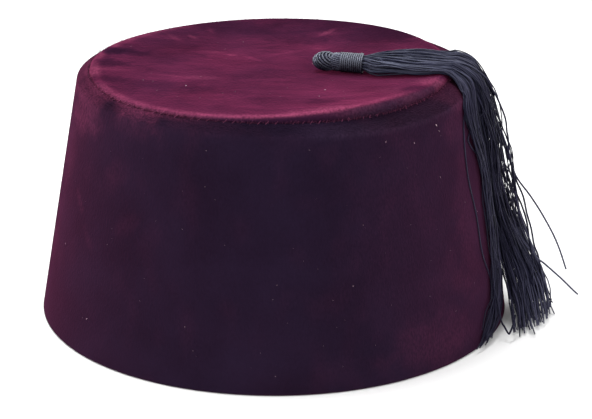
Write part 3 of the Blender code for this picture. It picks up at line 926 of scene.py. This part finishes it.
def make_head(thread):
    """The head: threads folded back round it, side by side, and the neck's strands."""
    axis = Vector(HEAD_AXIS).normalized()
    away = (axis * axis.x - Vector((1.0, 0.0, 0.0))).normalized()
    under = axis.cross(away)
    sizes = Vector((HEAD_HALF, HEAD_RADIUS, HEAD_RADIUS)) - Vector.Fill(3, 0.5)
    lines = []
    for fold in range(HEAD_FOLDS):
        slope = math.pi * (fold + 0.6) / HEAD_FOLDS
        places = []
        for step in range(FOLD_STEPS + 1):
            turn = math.radians(2 * FOLD_REACH * step / FOLD_STEPS - FOLD_REACH)
            ring = away * math.cos(turn) + under * math.sin(turn)
            places.append(axis * math.cos(slope) + ring * math.sin(slope))
        line = fold_end(places[0])[::-1]
        for place in places:
            line.append(in_neck(*(part * size for part, size in zip(place, sizes))))
        line += fold_end(places[-1])
        lines.append([(point, 1.0) for point in smooth_line(line, 2)])
    for strand in range(NECK_STRANDS):
        line = []
        for step, (length, radius) in enumerate(NECK_RUN):
            turn = math.tau * strand / NECK_STRANDS + NECK_TWIST * step
            off = radius * math.cos(turn), radius * math.sin(turn)
            line.append(in_neck(length, *off))
        lines.append([(point, 0.9) for point in smooth_line(line, 2)])
    piece = corded("tassel_head", lines, HEAD_THREAD_RADIUS, "tassel_thread", thread)
    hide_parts("tassel")


def make_cores(core):
    """What fills the head and the neck, so that no light comes through."""
    ball = bmesh.new()
    bmesh.ops.create_uvsphere(ball, u_segments=32, v_segments=20, radius=1.0)
    half, radius = HEAD_HALF - HEAD_CORE_INSET, HEAD_RADIUS - HEAD_CORE_INSET
    grow = Matrix.Diagonal((half, radius, radius, 1.0))
    length = BINDING_END - BINDING_START + 5.0
    neck = bmesh.new()
    wide = NECK_CORE_RADIUS
    bmesh.ops.create_cone(
        neck, cap_ends=True, segments=32, radius1=wide, radius2=wide, depth=length
    )
    lie = Matrix.Rotation(math.radians(90), 4, "Y")
    slide = Matrix.Translation((BINDING_END - length / 2, 0.0, 0.0))
    axes = Matrix(neck_frame()).transposed().to_4x4()
    place = Matrix.Translation(HEAD_MIDDLE)
    for solid, first in ((ball, [grow]), (neck, [lie, slide])):
        for turn in (*first, axes, place, Matrix.Scale(MM, 4)):
            bmesh.ops.transform(solid, matrix=turn, verts=solid.verts)
    finished("tassel_head_core", ball, "tassel_thread", core)
    finished("tassel_neck_core", neck, "tassel_thread", core)


def make_binding(thread):
    """The thread wound round the neck, with its last turn standing a little proud."""
    line = []
    total = BINDING_TURNS * BINDING_STEPS
    for step in range(total + 1):
        turn = math.tau * step / BINDING_STEPS
        place = BINDING_START + (BINDING_END - BINDING_START) * step / total
        radius = BINDING_RADIUS
        if step > total - BINDING_STEPS:
            radius += LAST_TURN_PROUD
        point = in_neck(place, radius * math.sin(turn), radius * math.cos(turn))
        line.append((point, 1.0))
    piece = corded(
        "tassel_binding_thread",
        [line],
        BINDING_THREAD_RADIUS,
        "binding_thread",
        thread,
        sides=8,
    )
    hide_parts("tassel_binding")


# ---- materials


def new_material(name):
    made = bpy.data.materials.new(name)
    made.use_nodes = True
    tree = made.node_tree
    return made, tree, tree.nodes["Principled BSDF"]


def add_node(tree, kind, *ordered, settings=None, output=0, **named):
    """A new node's output. Its inputs, in order or by name, are values or outputs."""
    made = tree.nodes.new(kind)
    for name, value in (settings or {}).items():
        setattr(made, name, value)
    inputs = {name.replace("_", " "): value for name, value in named.items()}
    for key, value in (*enumerate(ordered), *inputs.items()):
        if isinstance(value, bpy.types.NodeSocket):
            tree.links.new(value, made.inputs[key])
        else:
            made.inputs[key].default_value = value
    return made.outputs[output]


def calculated(tree, operation, *numbers):
    """The result of a sum on numbers."""
    settings = {"operation": operation}
    return add_node(tree, "ShaderNodeMath", *numbers, settings=settings)


def combined(tree, operation, *vectors):
    """The result of a sum on vectors."""
    settings = {"operation": operation}
    return add_node(tree, "ShaderNodeVectorMath", *vectors, settings=settings)


def ramped(tree, value, *ends):
    """A colour between two, each given after the value that it belongs to."""
    colour = add_node(tree, "ShaderNodeValToRGB", value)
    for element, (position, end) in zip(colour.node.color_ramp.elements, ends):
        element.position = position
        element.color = (*end, 1.0)
    return colour


def linked(shader, colour, bump):
    """The shader takes its colour and its normal from these."""
    tree = shader.id_data
    tree.links.new(colour, shader.inputs["Base Color"])
    tree.links.new(bump, shader.inputs["Normal"])


def attribute(tree, name):
    settings = {"attribute_name": name}
    return add_node(tree, "ShaderNodeAttribute", settings=settings, output="Vector")


def velvet(name, dark, light, tint, sheen_roughness, strokes, sway, grain_run):
    """Short-pile velvet: dark seen straight on, and bright along the pile's tips.

    The strokes and the grain's run say how finely the brush marks and the grain
    change along X, Y and Z, and the sway is how the marks lean the pile.
    """
    made, tree, shader = new_material(name)
    place = add_node(tree, "ShaderNodeTexCoord", output="Object")
    cloud = add_node(tree, "ShaderNodeTexNoise", Vector=place, Scale=38.0, Detail=4.0)
    run = add_node(tree, "ShaderNodeMapping", Vector=place, Scale=grain_run)
    grain = add_node(tree, "ShaderNodeTexNoise", Vector=run, Scale=1.0, Detail=2.0)
    both = calculated(tree, "MULTIPLY_ADD", grain, 0.5, cloud)
    cloth = ramped(tree, both, (0.45, dark), (1.0, light))
    uneven = add_node(tree, "ShaderNodeMapRange", grain, 0.3, 0.7, 0.4, 1.6)
    # the pile's added colour: pressed pile, painted sheen highlights and painted light
    cloth_and_sheen = combined(tree, "MULTIPLY_ADD", attribute(tree, "pile_tone_and_sheen"), uneven, cloth)
    along = add_node(tree, "ShaderNodeMapping", Vector=place, Scale=strokes)
    marks = add_node(
        tree, "ShaderNodeTexNoise", Vector=along, Scale=1.0, Detail=4.0, Distortion=0.8
    )
    marks = calculated(tree, "SUBTRACT", marks, 0.5)
    pile = add_node(tree, "ShaderNodeNewGeometry", output="Normal")
    pile = combined(tree, "ADD", pile, attribute(tree, "pile_lean"))
    pile = combined(tree, "MULTIPLY_ADD", marks, sway, pile)
    pile = combined(tree, "NORMALIZE", pile)
    deep = {"Strength": 0.8, "Distance": 0.0003}
    bump = add_node(tree, "ShaderNodeBump", Height=grain, Normal=pile, **deep)
    linked(shader, cloth_and_sheen, bump)
    shader.inputs["Roughness"].default_value = 0.95
    shader.inputs["Specular IOR Level"].default_value = 0.0
    shader.inputs["Sheen Weight"].default_value = 1.0
    shader.inputs["Sheen Roughness"].default_value = sheen_roughness
    shader.inputs["Sheen Tint"].default_value = (*tint, 1.0)
    return made


def backing_cloth():
    """The velvet's plain woven wrong side."""
    made, tree, shader = new_material("backing_cloth")
    place = add_node(tree, "ShaderNodeTexCoord", output="Object")
    weave = add_node(tree, "ShaderNodeTexNoise", Vector=place, Scale=900.0, Detail=3.0)
    dark, light = (0.045, 0.008, 0.018), (0.085, 0.016, 0.034)
    cloth = ramped(tree, weave, (0.3, dark), (0.7, light))
    bump = add_node(tree, "ShaderNodeBump", Strength=0.5, Distance=0.0003, Height=weave)
    linked(shader, cloth, bump)
    shader.inputs["Roughness"].default_value = 0.9
    return made


def twisted_thread(name, dark, light, turns=4.0, roughness=0.9, gloss=0.0, painted_light_ramps=()):
    """Thread of two twisted plies, a little lighter on some threads.

    Each ramp of painted light and shade says which way the colour gets lighter, from
    and up to which distance along that, and how many times.
    """
    made, tree, shader = new_material(name)
    chance = add_node(tree, "ShaderNodeNewGeometry", output="Random Per Island")
    colour = ramped(tree, chance, (0.15, dark), (0.85, light))
    place = add_node(tree, "ShaderNodeTexCoord", output="Object")
    for heading, low, high, times in painted_light_ramps:
        along = add_node(
            tree,
            "ShaderNodeVectorMath",
            place,
            heading,
            settings={"operation": "DOT_PRODUCT"},
            output="Value",
        )
        share = add_node(tree, "ShaderNodeMapRange", along, low * MM, high * MM)
        more = [part - 1.0 for part in times]
        gain = combined(tree, "MULTIPLY_ADD", more, share, (1.0, 1.0, 1.0))
        colour = combined(tree, "MULTIPLY", gain, colour)
    run = add_node(tree, "ShaderNodeUVMap", settings={"uv_map": "UVMap"})
    slant = add_node(tree, "ShaderNodeMapping", Vector=run, Scale=(1.0, turns, 1.0))
    plies = add_node(
        tree,
        "ShaderNodeTexWave",
        Vector=slant,
        Scale=0.5,
        settings={"bands_direction": "DIAGONAL"},
        output="Fac",
    )
    bump = add_node(tree, "ShaderNodeBump", Strength=0.4, Distance=0.0001, Height=plies)
    linked(shader, colour, bump)
    shader.inputs["Roughness"].default_value = roughness
    shader.inputs["Specular IOR Level"].default_value = gloss
    shader.inputs["Specular Tint"].default_value = (0.74, 0.75, 1.0, 1.0)
    return made


# ---- camera, light


def make_camera():
    yaw, pitch, roll = (math.radians(turn) for turn in CAMERA_TURNS)
    ahead = Vector((math.sin(yaw), math.cos(yaw), 0.0)) * math.cos(pitch)
    ahead.z = -math.sin(pitch)
    right = Vector((math.cos(yaw), -math.sin(yaw), 0.0))
    up = right.cross(ahead)
    rolled_right = right * math.cos(roll) + up * math.sin(roll)
    rolled_up = up * math.cos(roll) - right * math.sin(roll)
    lens = bpy.data.cameras.new("camera")
    lens.sensor_fit = "HORIZONTAL"
    lens.sensor_width = SENSOR_WIDTH
    lens.lens = FOCAL_PIXELS / IMAGE_WIDTH * SENSOR_WIDTH
    lens.clip_start = 0.01
    camera = placed("camera", lens)
    turned = Matrix((rolled_right, rolled_up, -ahead)).transposed().to_4x4()
    camera.matrix_world = Matrix.Translation(Vector(CAMERA_PLACE) * MM) @ turned
    bpy.context.scene.camera = camera


def soft_light(name, place, size, power):
    """A square soft light that looks at the middle of the hat."""
    lamp = bpy.data.lights.new(name, "AREA")
    lamp.size = size
    lamp.energy = power
    made = placed(name, lamp)
    made.location = place
    aim = Vector((0.0, 0.0, 0.06)) - Vector(place)
    made.rotation_euler = aim.to_track_quat("-Z", "Y").to_euler()


def make_studio():
    floor = bmesh.new()
    bmesh.ops.create_grid(floor, x_segments=1, y_segments=1, size=8.0)
    data = bpy.data.meshes.new("studio_floor")
    floor.to_mesh(data)
    floor.free()
    paper, _, shader = new_material("pale_paper")
    shader.inputs["Base Color"].default_value = (0.80, 0.80, 0.80, 1.0)
    shader.inputs["Roughness"].default_value = 1.0
    shader.inputs["Specular IOR Level"].default_value = 0.0
    data.materials.append(paper)
    made = placed("studio_floor", data)
    world = bpy.data.worlds.new("studio")
    world.use_nodes = True
    sky = world.node_tree.nodes["Background"]
    sky.inputs["Color"].default_value = (1, 1, 1, 1)
    sky.inputs["Strength"].default_value = 1.0
    bpy.context.scene.world = world
    soft_light("top_light", (-0.15, 0.15, 1.2), 0.5, 15.0)
    soft_light("left_light", (-1.0, -0.3, 0.6), 0.7, 2.0)
    soft_light("right_light", (1.1, -0.1, 0.7), 0.7, 2.0)
    bpy.context.scene.view_settings.view_transform = "Standard"


# ---- build

make_camera()
make_studio()
side_velvet = velvet(
    "velvet_side",
    dark=(0.0051, 0.0049, 0.0121),
    light=(0.0105, 0.0084, 0.0209),
    tint=(0.074, 0.012, 0.030),
    sheen_roughness=0.65,
    strokes=(110.0, 110.0, 50.0),
    sway=(0.0, 0.0, 0.27),
    grain_run=(1400.0, 1400.0, 700.0),
)
top_velvet = velvet(
    "velvet_top",
    dark=(0.0075, 0.003, 0.009),
    light=(0.0165, 0.006, 0.018),
    tint=(0.355, 0.042, 0.124),
    sheen_roughness=0.45,
    strokes=(85.0, 230.0, 85.0),
    sway=(0.09, 0.29, 0.0),
    grain_run=(1400.0, 600.0, 1400.0),
)
# painted lighter where the fan lies on the top, as painted light from above, and
# towards the fall's lower outer side, as painted fill where the mass shades itself
tassel_thread = twisted_thread(
    "tassel_thread",
    dark=(0.0045, 0.0040, 0.0125),
    light=(0.0220, 0.0195, 0.0410),
    turns=170.0,
    roughness=0.42,
    gloss=0.17,
    painted_light_ramps=(
        ((-0.25, 0.0, 1.0), 81.0, 98.0, (3.8, 4.6, 3.2)),
        ((1.0, 0.5, -0.3), 88.0, 103.0, (2.5, 2.8, 2.2)),
    ),
)
# the binding and the head are painted lighter towards their top and darker below:
# painted light from above and painted shade
wound_thread = twisted_thread(
    "binding_thread",
    dark=(0.006, 0.006, 0.015),
    light=(0.012, 0.012, 0.024),
    turns=260.0,
    roughness=0.26,
    gloss=0.75,
    painted_light_ramps=(((0.0, 0.0, 1.0), 105.0, 112.5, (7.7, 8.5, 5.1)),),
)
skin = make_crown(side_velvet, top_velvet, backing_cloth())
seam_dice = random.Random(SEED)
stitches = twisted_thread("seam_thread", (0.070, 0.018, 0.040), (0.220, 0.055, 0.118))
make_stitches(stitches, seam_dice)
pile = twisted_thread("loose_pile", (0.040, 0.011, 0.026), (0.140, 0.036, 0.080))
make_fuzz(pile, seam_dice)
make_lint(skin, twisted_thread("lint", (0.06, 0.025, 0.045), (0.70, 0.50, 0.57)))
make_threads(skin, tassel_thread)
make_head(wound_thread)
make_cores(
    twisted_thread(
        "tassel_core",
        dark=(0.016, 0.016, 0.028),
        light=(0.020, 0.020, 0.034),
        roughness=0.8,
        gloss=0.1,
    )
)
make_binding(wound_thread)
